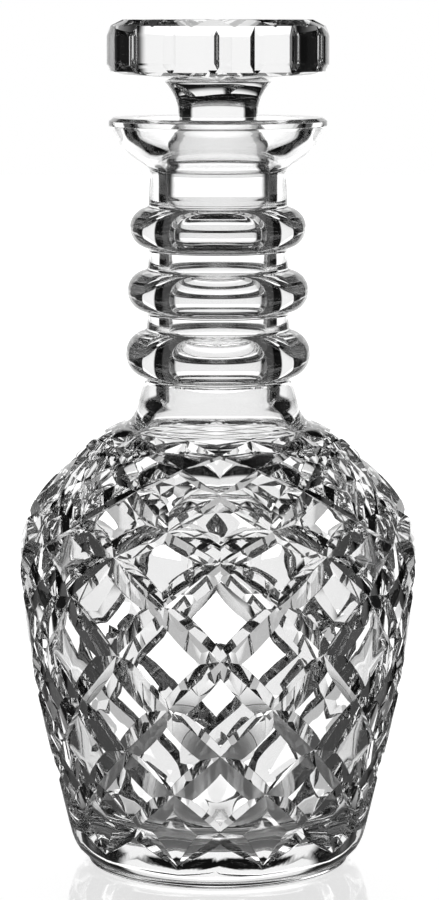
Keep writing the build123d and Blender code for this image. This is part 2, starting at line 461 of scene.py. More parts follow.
@dataclass(frozen=True)
class LightPanel:
    """A soft bright field in the studio. Angles are in degrees from +Y and from level.

    Bounced is the share of it that light mirrored inside the glass still sees.
    """

    azimuth: float
    half_width: float
    low: float
    high: float
    strength: float
    softness: float = 6.0
    bounced: float = 1.0

    def settings(self) -> tuple[float, ...]:
        """The panel's values, in the order of the panel group's own sockets."""
        return (self.azimuth, self.half_width, self.low, self.high, self.softness, self.strength)


def panel_group() -> NodeTree:
    """Builds the group that gives the brightness of one light panel in a direction.

    Returns:
        A group with the direction and the panel's sizes as inputs.
    """
    names = ("Azimuth", "Elevation", "Centre", "Half Width", "Low", "High", "Softness", "Strength")
    group = new_group("light_panel", dict.fromkeys(names, 0.0), ("Level",))
    bench = NodeBench(group)
    given = bench.add("NodeGroupInput").outputs
    result = bench.add("NodeGroupOutput")
    turned = bench.math("SUBTRACT", given["Azimuth"], given["Centre"])
    turned = bench.math("WRAP", turned, 180.0, -180.0)
    soft = bench.product(given["Softness"], 0.5)
    sides = []
    for value, edge, outer in (
        (bench.math("ABSOLUTE", turned), given["Half Width"], True),
        (given["Elevation"], given["High"], True),
        (given["Elevation"], given["Low"], False),
    ):
        low = bench.math("SUBTRACT", edge, soft)
        high = bench.math("ADD", edge, soft)
        ends = (1.0, 0.0) if outer else (0.0, 1.0)
        sides.append(bench.ramp(value, low, high, *ends))
    bench.fill(result, {"Level": bench.product(*sides, given["Strength"])})
    return group


def panel_level(
    bench: NodeBench,
    group: NodeTree,
    panels: Sequence[LightPanel],
    azimuth: NodeSocket,
    elevation: object,
    clean: NodeSocket,
    dark_level: float,
) -> object:
    """Adds one panel group for each panel and returns the brightest of them.

    Args:
        bench: Tree that is being built.
        group: The panel group.
        panels: The panels.
        azimuth: Direction round the object, in degrees.
        elevation: Direction above level, in degrees.
        clean: 1 on light that was not mirrored inside the glass, and 0 elsewhere.
        dark_level: Brightness between the panels.

    Returns:
        The socket that gives the level.
    """
    level: object = dark_level
    for panel in panels:
        node = bench.add("ShaderNodeGroup", node_tree=group)
        for socket, value in zip(node.inputs, (azimuth, elevation) + panel.settings()):
            bench.feed(socket, value)
        share = bench.math("MULTIPLY_ADD", clean, 1.0 - panel.bounced, panel.bounced)
        level = bench.math("MAXIMUM", level, bench.product(node.outputs["Level"], share))
    return level


def clean_path(bench: NodeBench, path: NodeOutputs) -> NodeSocket:
    """Gives 1 on light that came straight through the glass, with no mirroring inside it."""
    mirrored = bench.math("SUBTRACT", path["Ray Depth"], path["Transmission Depth"])
    return bench.math("LESS_THAN", mirrored, HALF_A_BOUNCE)


@dataclass(frozen=True)
class GlossyTable:
    """Glossy white table top, which shows a faint mirror image of what stands on it.

    The camera sees it white from a glow added for camera rays, with painted shadow that darkens it towards
    the foot. Through the glass it shows a painted grey glow near the foot, and further off a painted glow of
    the panels behind it. Its radii are counted from the foot's middle.
    """

    name: str = "glossy_white_table_with_painted_light"
    colour: tuple[float, float, float, float] = (0.80, 0.80, 0.80, 1.0)
    # Nearly black base where the glass sees the table further off, so that only the painted glow lights it
    # there.
    base_under_painted_glow: tuple[float, float, float, float] = (0.02, 0.02, 0.02, 1.0)
    roughness: float = 0.06
    refraction: float = 1.5
    # Glow for camera rays that makes the table white, lowered near the foot as a painted soft shadow.
    painted_shadow_lift: float = 0.74
    far_lift: float = 0.95
    painted_shadow_start: float = 0.05
    painted_shadow_end: float = 0.22
    # Painted grey glow that the glass sees on the table near the foot.
    painted_near_glow: float = 0.12
    # Radii where the painted grey glow near the foot gives way to the painted glow of the panels.
    near_radius: float = 0.024
    far_radius: float = 0.060
    # Painted even glow on the table round the object, seen through the glass, fading out further off.
    painted_glow_level: float = 0.60
    painted_glow_start: float = 0.60
    painted_glow_end: float = 1.00

    def build(self, group: NodeTree, panels: Sequence[LightPanel]) -> Material:
        """Builds the material.

        Args:
            group: The panel group.
            panels: The panels that reach down to the table; their light is painted on it as a glow seen
                through the glass.

        Returns:
            The material.
        """
        material, bench, shader = new_material(self.name)
        x, y, _ = bench.coordinates("Object")
        radius = bench.radius(x, y)
        path = bench.add("ShaderNodeLightPath").outputs
        glass = bench.math("MAXIMUM", path["Is Transmission Ray"], path["Is Glossy Ray"])
        # Share of the table, seen through the glass, that carries the painted glow of the panels instead of
        # the painted grey.
        far = bench.product(glass, bench.ramp(radius, self.near_radius, self.far_radius))
        clean = clean_path(bench, path)
        # Painted glow of the panels on the table, by direction round the foot, for rays through the glass.
        level = panel_level(bench, group, panels, bench.azimuth(x, y), 0.0, clean, 0.0)
        painted_glow_around = bench.ramp(radius, self.painted_glow_start, self.painted_glow_end, self.painted_glow_level, 0.0)
        level = bench.math("MAXIMUM", level, bench.product(painted_glow_around, clean))
        # Painted grey glow near the foot, for rays that come through or off the glass.
        near = bench.product(bench.math("SUBTRACT", glass, far), self.painted_near_glow)
        # White glow for the camera, with painted shadow: less of it near the foot.
        lift = bench.ramp(radius, self.painted_shadow_start, self.painted_shadow_end, self.painted_shadow_lift, self.far_lift)
        lift_and_painted_near_glow = bench.math("MULTIPLY_ADD", path["Is Camera Ray"], lift, near)
        # All the painted light and shadow on the table goes in as emission.
        emission = bench.math("MULTIPLY_ADD", far, level, lift_and_painted_near_glow)
        colour = bench.add("ShaderNodeMix", data_type="RGBA")
        bench.link(far, colour.inputs["Factor"])
        sockets = {socket.identifier: socket for socket in (*colour.inputs, *colour.outputs)}
        sockets["A_Color"].default_value = self.colour
        sockets["B_Color"].default_value = self.base_under_painted_glow
        surface = {"Base Color": sockets["Result_Color"], "Roughness": self.roughness, "IOR": self.refraction}
        bench.fill(shader, surface | {"Emission Color": WHITE, "Emission Strength": emission})
        return material


# Bottle


@dataclass
class BellyOutline:
    """The outside of the belly before it is cut: a radius at every height."""

    radius: float = 59.96
    crown_height: float = 133.0
    foot_radius: float = 39.6
    foot_rise: float = 1.8
    draw_step: float = 0.05
    run_step: float = 0.5
    shares: tuple[Point, ...] = (
        (0.718, 0.034), (0.757, 0.080), (0.820, 0.200), (0.885, 0.315), (0.950, 0.478),
        (0.988, 0.617), (1.000, 0.684), (0.990, 0.756), (0.963, 0.796), (0.898, 0.843),
        (0.803, 0.891), (0.700, 0.935), (0.597, 0.976), (0.505, 1.000),
    )

    def __post_init__(self) -> None:
        """Draws the outline once, finely."""
        points = [(r * self.radius, z * self.crown_height) for r, z in self.shares]
        self.crown_edge = points[-1]
        drawn = np.array(smooth_curve([(self.foot_radius, self.foot_rise)] + points, self.draw_step))
        self.radii = drawn[:, 0]
        self.heights = drawn[:, 1]

    def at(self, height: float) -> float:
        """The radius at a height."""
        return float(np.interp(height, self.heights, self.radii))

    def run(self, height: float) -> Vector:
        """The direction in which the outline runs at a height, as radius and height."""
        above = height + self.run_step
        below = height - self.run_step
        return Vector((self.at(above) - self.at(below), above - below)).normalized()

    def under(self, height: float, depth: float) -> Point:
        """The point that lies a depth under the outline, square to it."""
        run = self.run(height)
        return (self.at(height) - run.y * depth, height + run.x * depth)

    def hit(self, start: Vector, direction: Vector, reach: float = 9.0) -> Vector:
        """Finds where a line from inside the glass comes out of the outline.

        Args:
            start: Place inside the outline or on it.
            direction: Unit direction that points outwards.
            reach: Longest length that is searched.

        Returns:
            The place on the outline.
        """
        low = 0.0
        high = reach
        for _ in range(HALVINGS):
            middle = (low + high) / 2
            place = start + direction * middle
            if math.hypot(place.x, place.y) < self.at(place.z):
                low = middle
            else:
                high = middle
        return start + direction * low


@dataclass
class Wall:
    """One flat side of a V groove: it climbs from the groove's bottom line to the glass beside it."""

    foot: Vector
    head: Vector
    lean: Vector

    @property
    def along(self) -> Vector:
        """Direction of the bottom line."""
        return (self.head - self.foot).normalized()

    @property
    def normal(self) -> Vector:
        """Normal of the wall's plane."""
        return self.along.cross(self.lean)

    def share_of(self, place: Vector) -> float:
        """Share of the bottom line that lies square under a place on the wall."""
        return (place - self.foot).dot(self.along) / (self.head - self.foot).length

    def bottom(self, share: float) -> Vector:
        """Place on the bottom line."""
        return self.foot.lerp(self.head, share)


@dataclass
class DiamondCutting:
    """Two hands of straight V grooves that cross in rows and leave curved panes between them."""

    outline: BellyOutline
    groove_count: int = 11
    depth: float = 2.5
    angle: float = 106.0
    turn: float = 0.8
    facets: int = 8
    band_facets: int = 4
    edge_width: float = 0.22
    edge_room: float = 2.2
    foot_height: float = 2.6
    rows: tuple[float, ...] = (
        0.060, 0.133, 0.220, 0.316, 0.422, 0.536, 0.655, 0.760, 0.827, 0.903, 0.950, 0.978, 0.993,
    )

    def __post_init__(self) -> None:
        """Finds the crossing point of every row."""
        self.half_step = math.pi / self.groove_count
        self.front = math.radians(self.turn) - math.pi / 2
        heights = [share * self.outline.crown_height for share in self.rows]
        depths = [0.0] + [self.depth] * (len(heights) - 2) + [0.0]
        self.crossings = [self.outline.under(z, d) for z, d in zip(heights, depths)]

    @property
    def steps(self) -> int:
        """Number of steps round the full turn that meets the panes' own steps."""
        return 2 * self.groove_count * self.facets

    def crossing(self, row: int, half_steps: int) -> Vector:
        """Place of a crossing, counted in half steps from the middle of the row's own diamond."""
        radius, height = self.crossings[row]
        return placed(radius, half_steps * self.half_step, height)

    def wall(self, row: int, start: int, hand: Hand, towards: Vector) -> Wall:
        """Makes the side of a groove that faces a pane.

        Args:
            row: Row that the groove leaves.
            start: Where it leaves, in half steps.
            hand: Which way it leans.
            towards: A place on the pane's side of the groove.

        Returns:
            The wall.
        """
        foot = self.crossing(row, start)
        head = self.crossing(row + 1, start + hand.value)
        rise = Vector(self.crossings[row + 1]) - Vector(self.crossings[row])
        middle = (start + hand.value / 2) * self.half_step
        outward = placed(rise.y, middle, -rise.x)
        along = (head - foot).normalized()
        outward = (outward - along * outward.dot(along)).normalized()
        side = outward.cross(along)
        if side.dot(towards - foot) < 0:
            side.negate()
        half_angle = math.radians(self.angle / 2)
        return Wall(foot, head, outward * math.cos(half_angle) + side * math.sin(half_angle))

    def corner(self, first: Wall, second: Wall, node: Vector) -> Vector:
        """The corner of a pane: where the walls that meet over a crossing reach the outline."""
        line = first.normal.cross(second.normal).normalized()
        if line.dot(first.lean) < 0:
            line.negate()
        return self.outline.hit(node, line)

    def pane_edge(self, wall: Wall, start: Vector, end: Vector) -> list[Point]:
        """Draws the edge that a wall leaves on the outline.

        Args:
            wall: The wall.
            start: Corner near the wall's foot.
            end: Corner near its head.

        Returns:
            Angle and height of each point, from start to end.
        """
        places = [start]
        first = wall.share_of(start)
        last = wall.share_of(end)
        for i in range(1, self.facets):
            base = wall.bottom(first + (last - first) * i / self.facets)
            places.append(self.outline.hit(base, wall.lean))
        places.append(end)
        return [(math.atan2(p.y, p.x), p.z) for p in places]

    def on_outline(self, angle: float, height: float) -> Vector:
        """Place on the outline."""
        return placed(self.outline.at(height), angle, height)

    def bevel_edges(self, mesh: BMesh, edges: Sequence[BMEdge]) -> None:
        """Rounds the given edges of the panes a little, and keeps the shading of what they part."""
        made = bmesh.ops.bevel(
            mesh,
            geom=list(edges),
            offset=self.edge_width,
            offset_type="OFFSET",
            segments=2,
            profile=0.5,
            affect="EDGES",
            material=-1,
            clamp_overlap=False,
        )
        strips = set(made["faces"])
        for vert in {vert for face in strips for vert in face.verts}:
            radius = math.hypot(vert.co.x, vert.co.y)
            share = min(1.0, self.outline.at(vert.co.z) / radius)
            vert.co = Vector((vert.co.x * share, vert.co.y * share, vert.co.z))
        for face in strips:
            for edge in face.edges:
                if any(other not in strips for other in edge.link_faces):
                    edge.smooth = False

    def full_diamond(self, row: int) -> BMesh:
        """Builds one pane and its four groove walls, centred on angle 0.

        Args:
            row: Row of the diamond's lower corner.

        Returns:
            The open patch.
        """
        low, high = self.crossing(row, 0), self.crossing(row + 2, 0)
        left, right = self.crossing(row + 1, -1), self.crossing(row + 1, 1)
        centre = self.on_outline(0.0, (low.z + high.z) / 2)
        right_low = self.wall(row, 0, Hand.LEFT, centre)
        left_low = self.wall(row, 0, Hand.RIGHT, centre)
        right_high = self.wall(row + 1, 1, Hand.RIGHT, centre)
        left_high = self.wall(row + 1, -1, Hand.LEFT, centre)
        at_foot, at_crown = row == 0, row + 2 == len(self.crossings) - 1
        low_corner = low if at_foot else self.corner(right_low, left_low, low)
        high_corner = high if at_crown else self.corner(right_high, left_high, high)
        right_corner = self.corner(right_low, right_high, right)
        left_corner = self.corner(left_low, left_high, left)
        low_right = np.array(self.pane_edge(right_low, low_corner, right_corner))
        low_left = np.array(self.pane_edge(left_low, low_corner, left_corner))
        high_right = np.array(self.pane_edge(right_high, right_corner, high_corner))
        high_left = np.array(self.pane_edge(left_high, left_corner, high_corner))

        def on_pane(i: int, j: int) -> Vector:
            """Place of a grid point on the pane."""
            u, v = i / self.facets, j / self.facets
            across = (1 - v) * low_right[i] + v * high_left[i]
            upward = (1 - u) * low_left[j] + u * high_right[j]
            bent = (1 - u) * (1 - v) * low_right[0] + u * (1 - v) * low_right[-1]
            bent = bent + (1 - u) * v * low_left[-1] + u * v * high_left[-1]
            angle, height = across + upward - bent
            return self.on_outline(float(angle), float(height))

        def on_bottom(i: int, j: int) -> Vector:
            """Place under a border point, on the bottom line of its groove."""
            if j == 0:
                return right_low.bottom(i / self.facets)
            if i == 0:
                return left_low.bottom(j / self.facets)
            if j == self.facets:
                return left_high.bottom(i / self.facets)
            return right_high.bottom(j / self.facets)

        return self.patch(self.facets, self.facets, on_pane, on_bottom, lambda i, j: True)

    def band(self, top: bool) -> BMesh:
        """Builds the plain glass beyond the end row, with the walls of the half diamonds that it borders.

        Args:
            top: True for the band at the crown, False for the one at the foot.

        Returns:
            The open patch, from one crossing of the end row to the next.
        """
        last = len(self.crossings) - 1
        row, end_row, inner_row = (last - 1, last, last - 1) if top else (0, 0, 1)
        rim = self.outline.crown_height if top else self.foot_height
        near, far = self.crossing(end_row, 0), self.crossing(end_row, 2)
        inner = self.crossing(inner_row, 1)
        beside = self.on_outline(self.half_step, rim)
        if top:
            first = self.wall(row, 1, Hand.RIGHT, beside)
            second = self.wall(row, 1, Hand.LEFT, beside)
        else:
            first = self.wall(row, 0, Hand.LEFT, beside)
            second = self.wall(row, 2, Hand.RIGHT, beside)
        apex = self.corner(first, second, inner)
        if top:
            falling = self.pane_edge(first, apex, near)[::-1]
            rising = self.pane_edge(second, apex, far)
        else:
            falling = self.pane_edge(first, near, apex)
            rising = self.pane_edge(second, far, apex)[::-1]
        edge = np.array(falling + rising[1:])
        columns = 2 * self.facets

        def on_pane(i: int, j: int) -> Vector:
            """Place of a grid point on the band."""
            share = j / self.band_facets
            rim_point = np.array((2 * self.half_step * i / columns, rim))
            angle, height = rim_point + (edge[i] - rim_point) * share
            return self.on_outline(float(angle), float(height))

        def on_bottom(i: int, j: int) -> Vector:
            """Place under a border point, on the bottom line of its groove."""
            share = i / self.facets
            if i <= self.facets:
                return near.lerp(inner, share)
            return inner.lerp(far, share - 1)

        return self.patch(columns, self.band_facets, on_pane, on_bottom, lambda i, j: j == self.band_facets)

    def patch(
        self,
        columns: int,
        rows: int,
        on_pane: Callable[[int, int], Vector],
        on_bottom: Callable[[int, int], Vector],
        walled: Callable[[int, int], bool],
    ) -> BMesh:
        """Builds a pane from a flat grid, and grows the groove walls from its border.

        Args:
            columns: Grid squares across.
            rows: Grid squares up.
            on_pane: Gives the place of a grid point on the pane.
            on_bottom: Gives the place of a border point's foot in its groove.
            walled: Says whether a border point has a wall.

        Returns:
            The open patch.
        """
        mesh = bmesh.new()
        bmesh.ops.create_grid(mesh, x_segments=columns, y_segments=rows, size=1.0)

        def index(vert: BMVert) -> tuple[int, int]:
            """Grid place of a point of the flat grid."""
            return round((vert.co.x + 1) / 2 * columns), round((vert.co.y + 1) / 2 * rows)

        border = [
            edge
            for edge in mesh.edges
            if edge.is_boundary and all(walled(*index(vert)) for vert in edge.verts)
        ]
        grown = bmesh.ops.extrude_edge_only(mesh, edges=border)["geom"]
        feet = {item for item in grown if isinstance(item, BMVert)}
        for vert in mesh.verts:
            i, j = index(vert)
            vert.co = on_bottom(i, j) if vert in feet else on_pane(i, j)
        room = self.edge_room * self.edge_width
        crests = []
        for edge in border:
            widths = []
            for vert in edge.verts:
                steps = [e.other_vert(vert).co for e in vert.link_edges if e.other_vert(vert) in feet]
                widths.append(min((place - vert.co).length for place in steps))
            if min(widths) > room and edge.calc_length() > room / 2:
                crests.append(edge)
        self.bevel_edges(mesh, crests)
        return mesh

    def build(self) -> BMesh:
        """Builds one column of panes with both bands, and repeats it round the axis.

        Returns:
            The cut surface, open at the crown and at the foot.
        """
        column = bmesh.new()
        for row in range(len(self.crossings) - 2):
            diamond = self.full_diamond(row)
            self.turn_mesh(diamond, (row + 1) % 2)
            add_mesh(column, diamond)
        for top in (False, True):
            band = self.band(top)
            row = len(self.crossings) - 1 if top else 0
            self.turn_mesh(band, (row + 1) % 2)
            add_mesh(column, band)
        bmesh.ops.spin(
            column,
            geom=list(column.verts) + list(column.edges) + list(column.faces),
            axis=AXIS,
            cent=MIDDLE,
            angle=2 * math.pi * (self.groove_count - 1) / self.groove_count,
            steps=self.groove_count - 1,
            use_duplicate=True,
        )
        return column

    def turn_mesh(self, mesh: BMesh, half_steps: int) -> None:
        """Turns a patch from angle 0 to its own place."""
        angle = self.front + half_steps * self.half_step
        bmesh.ops.rotate(mesh, verts=mesh.verts, cent=MIDDLE, matrix=Matrix.Rotation(angle, 3, "Z"))


@dataclass(frozen=True)
class NeckRing:
    """One ring trailed round the neck: its middle height, its thickness and how far it stands out."""

    height: float
    thickness: float
    stand: float


@dataclass
class Bottle:
    """The cut and ringed bottle, whose rings are fused to the neck."""

    name: str = "cut_bottle"
    nodes: tuple[str, ...] = ("bottle", "neck_ring_upper", "neck_ring_middle", "neck_ring_lower")
    height: float = 225.0
    shoulder_height: float = 146.5
    neck_base_radius: float = 21.7
    neck_top_radius: float = 20.4
    neck_top_height: float = 208.0
    lip_radius: float = 32.5
    rim_foot: float = 222.5
    rim_step: float = 0.6
    rim_bevel_width: float = 1.4
    rim_bevel_height: float = 1.0
    rim_width: float = 7.2
    rim_rounding: float = 0.15
    lip_rounding: float = 0.6
    foot_ring_width: float = 5.0
    foot_hollow_depth: float = 1.4
    foot_rounding: float = 0.5
    foot_crease: float = 0.3
    base_thickness: float = 11.0
    base_dome: float = 2.5
    base_dome_radius: float = 28.0
    base_rounding: float = 5.0
    bore_radius: float = 14.8
    bore_foot: float = 147.0
    socket_radius: float = 15.41
    socket_end_radius: float = 15.15
    socket_height: float = 209.5
    socket_end_height: float = 199.3
    socket_rounding: float = 0.15
    bowl_rounding: float = 1.0
    bore_rounding: float = 1.0
    base_steps: int = 8
    cap_steps: int = 16
    fillet: float = 1.2
    fillet_steps: int = 6
    ring_steps: int = 26
    ring_gap: float = 0.2
    shoulder_step: float = 0.8
    bowl_step: float = 1.0
    curve_step: float = 1.7
    rings: tuple[NeckRing, ...] = (
        NeckRing(154.5, 14.2, 6.2),
        NeckRing(173.4, 12.5, 6.0),
        NeckRing(192.3, 12.3, 5.6),
    )
    inside_shares: tuple[Point, ...] = (
        (0.647, 0.135), (0.700, 0.237), (0.767, 0.372), (0.810, 0.511), (0.820, 0.632),
        (0.787, 0.729), (0.705, 0.816), (0.575, 0.891), (0.442, 0.947), (0.360, 0.986),
        (0.333, 1.013), (0.303, 1.042), (0.262, 1.073),
    )
    shoulder_shares: tuple[Point, ...] = ((0.56, 0.88), (0.30, 0.54))
    lip_shares: tuple[Point, ...] = ((0.02, 0.10), (0.35, 0.30), (0.67, 0.51), (0.86, 0.72), (0.965, 0.89))
    bowl_shares: tuple[Point, ...] = (
        (0.05, 0.18), (0.18, 0.31), (0.41, 0.43), (0.69, 0.575), (0.91, 0.755), (0.98, 0.885),
    )
    outline: BellyOutline = field(default_factory=BellyOutline)

    def neck_radius(self, height: float) -> float:
        """Outer radius of the tapered neck at a height."""
        rise = (height - self.shoulder_height) / (self.neck_top_height - self.shoulder_height)
        return self.neck_base_radius + rise * (self.neck_top_radius - self.neck_base_radius)

    def ring_run(self, ring: NeckRing) -> list[Point]:
        """Draws one ring with the small fillets that fuse it to the neck, from below upwards."""
        half = ring.thickness / 2
        radius = (half**2 + ring.stand**2) / (2 * ring.stand)
        neck = self.neck_radius(ring.height)
        centre = neck + ring.stand - radius
        offset = neck + self.fillet - centre
        drop = math.sqrt((radius + self.fillet) ** 2 - offset**2)
        tilt = math.atan2(drop, offset)
        low_fillet = (neck + self.fillet, ring.height - drop)
        high_fillet = (neck + self.fillet, ring.height + drop)
        below = arc(low_fillet, self.fillet, math.pi, math.pi - tilt, self.fillet_steps)
        round_part = arc((centre, ring.height), radius, -tilt, tilt, self.ring_steps)
        above = arc(high_fillet, self.fillet, math.pi + tilt, math.pi, self.fillet_steps)
        return below[:-1] + round_part + above[1:]

    def outside(self) -> list[Point]:
        """Draws shoulder, neck, rings and lip, from the crown up to the rim's outer edge."""
        neck_foot = (self.neck_base_radius, self.shoulder_height)
        neck_head = (self.neck_top_radius, self.neck_top_height)
        crown = self.outline.crown_edge
        bend = between(neck_foot, crown, self.shoulder_shares)
        run = smooth_curve([crown] + bend + [neck_foot], self.shoulder_step)
        for ring in self.rings:
            ring_run = self.ring_run(ring)
            run = [point for point in run if point[1] < ring_run[0][1] - self.ring_gap]
            run += ring_run
        lip_edge = (self.lip_radius - self.rim_step, self.rim_foot)
        lip_points = between(neck_head, lip_edge, self.lip_shares)
        lip = smooth_curve([neck_head] + lip_points + [lip_edge], self.bowl_step)
        run = run + straight(run[-1], neck_head, count=5)[1:-1] + lip
        return softened(run, self.rim(), self.rim_rounding)

    def rim(self) -> list[Point]:
        """Draws the ground rim: a step out, an upright band, a bevel and the flat top, to its inner edge."""
        step = (self.lip_radius - self.rim_step, self.rim_foot)
        foot = (self.lip_radius, self.rim_foot)
        head = (self.lip_radius, self.height - self.rim_bevel_height)
        top = (self.lip_radius - self.rim_bevel_width, self.height)
        inner = (self.lip_radius - self.rim_width, self.height)
        others = ([foot, head], [head, top], straight(top, inner, count=4))
        return joined([step, foot], *((run, self.rim_rounding) for run in others))

    def inside(self) -> list[Point]:
        """Draws bowl, socket, bore and belly, from the rim's inner edge down to the middle of the base."""
        socket_head = (self.socket_radius, self.socket_height)
        bowl_edge = (self.lip_radius - self.rim_width, self.height)
        bowl_points = between(socket_head, bowl_edge, self.bowl_shares)
        bowl = smooth_curve([socket_head] + bowl_points + [bowl_edge], self.bowl_step)
        socket_foot = (self.socket_end_radius, self.socket_end_height)
        bore_head = (self.bore_radius, self.socket_end_height)
        bore_foot = (self.bore_radius, self.bore_foot)
        size = (self.outline.radius, self.outline.crown_height)
        dome_edge = (self.base_dome_radius, self.base_thickness)
        points = [(r * size[0], z * size[1]) for r, z in self.inside_shares]
        belly = smooth_curve([dome_edge] + points + [bore_foot], self.curve_step)[::-1]
        dome = self.cap(self.base_dome_radius, self.base_thickness, self.base_dome)
        run = joined(
            bowl[::-1],
            (straight(socket_head, socket_foot, count=10), self.bowl_rounding),
            ([socket_foot, bore_head], self.socket_rounding),
            (straight(bore_head, bore_foot, count=10), self.socket_rounding),
            (belly, self.bore_rounding),
        )
        return softened(run, dome, self.base_rounding, self.base_steps)

    def cap(self, half_width: float, foot: float, rise: float) -> list[Point]:
        """Draws a shallow round cap from its edge to its middle."""
        radius = (half_width**2 + rise**2) / (2 * rise)
        centre = (0.0, foot + rise - radius)
        edge = math.atan2(radius - rise, half_width)
        return arc(centre, radius, edge, math.pi / 2, self.cap_steps)

    def foot(self, start: float) -> list[Point]:
        """Draws the foot from a height on the belly, under the flat ring, to the middle of the hollow."""
        rise = self.outline.foot_rise
        side = [(self.outline.at(z), float(z)) for z in np.linspace(start, rise, 4)]
        inner = side[-1][0] - self.foot_ring_width
        edge = (side[-1][0], 0.0)
        return joined(
            side,
            (straight(side[-1], edge, count=3), self.foot_crease),
            (straight(edge, (inner, 0.0), count=6), self.foot_rounding),
            (self.cap(inner, 0.0, self.foot_hollow_depth), self.foot_rounding),
        )

    def build(self, material: Material) -> Object:
        """Builds the bottle as one closed skin of glass.

        Args:
            material: The crystal.

        Returns:
            The piece, riding on its body.
        """
        cutting = DiamondCutting(self.outline)
        skin = cutting.build()
        upper = softened(self.outside(), self.inside(), self.lip_rounding)
        add_mesh(skin, spun(upper, cutting.front, cutting.steps))
        add_mesh(skin, spun(self.foot(cutting.foot_height), cutting.front, cutting.steps))
        bmesh.ops.remove_doubles(skin, verts=skin.verts, dist=WELD)
        bmesh.ops.dissolve_degenerate(skin, edges=skin.edges, dist=SLIVER)
        bmesh.ops.recalc_face_normals(skin, faces=skin.faces)
        piece = piece_from(self.name, skin, material)
        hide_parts(*self.nodes)
        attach(piece, Body.BOTTLE.value)
        return piece


# Stopper


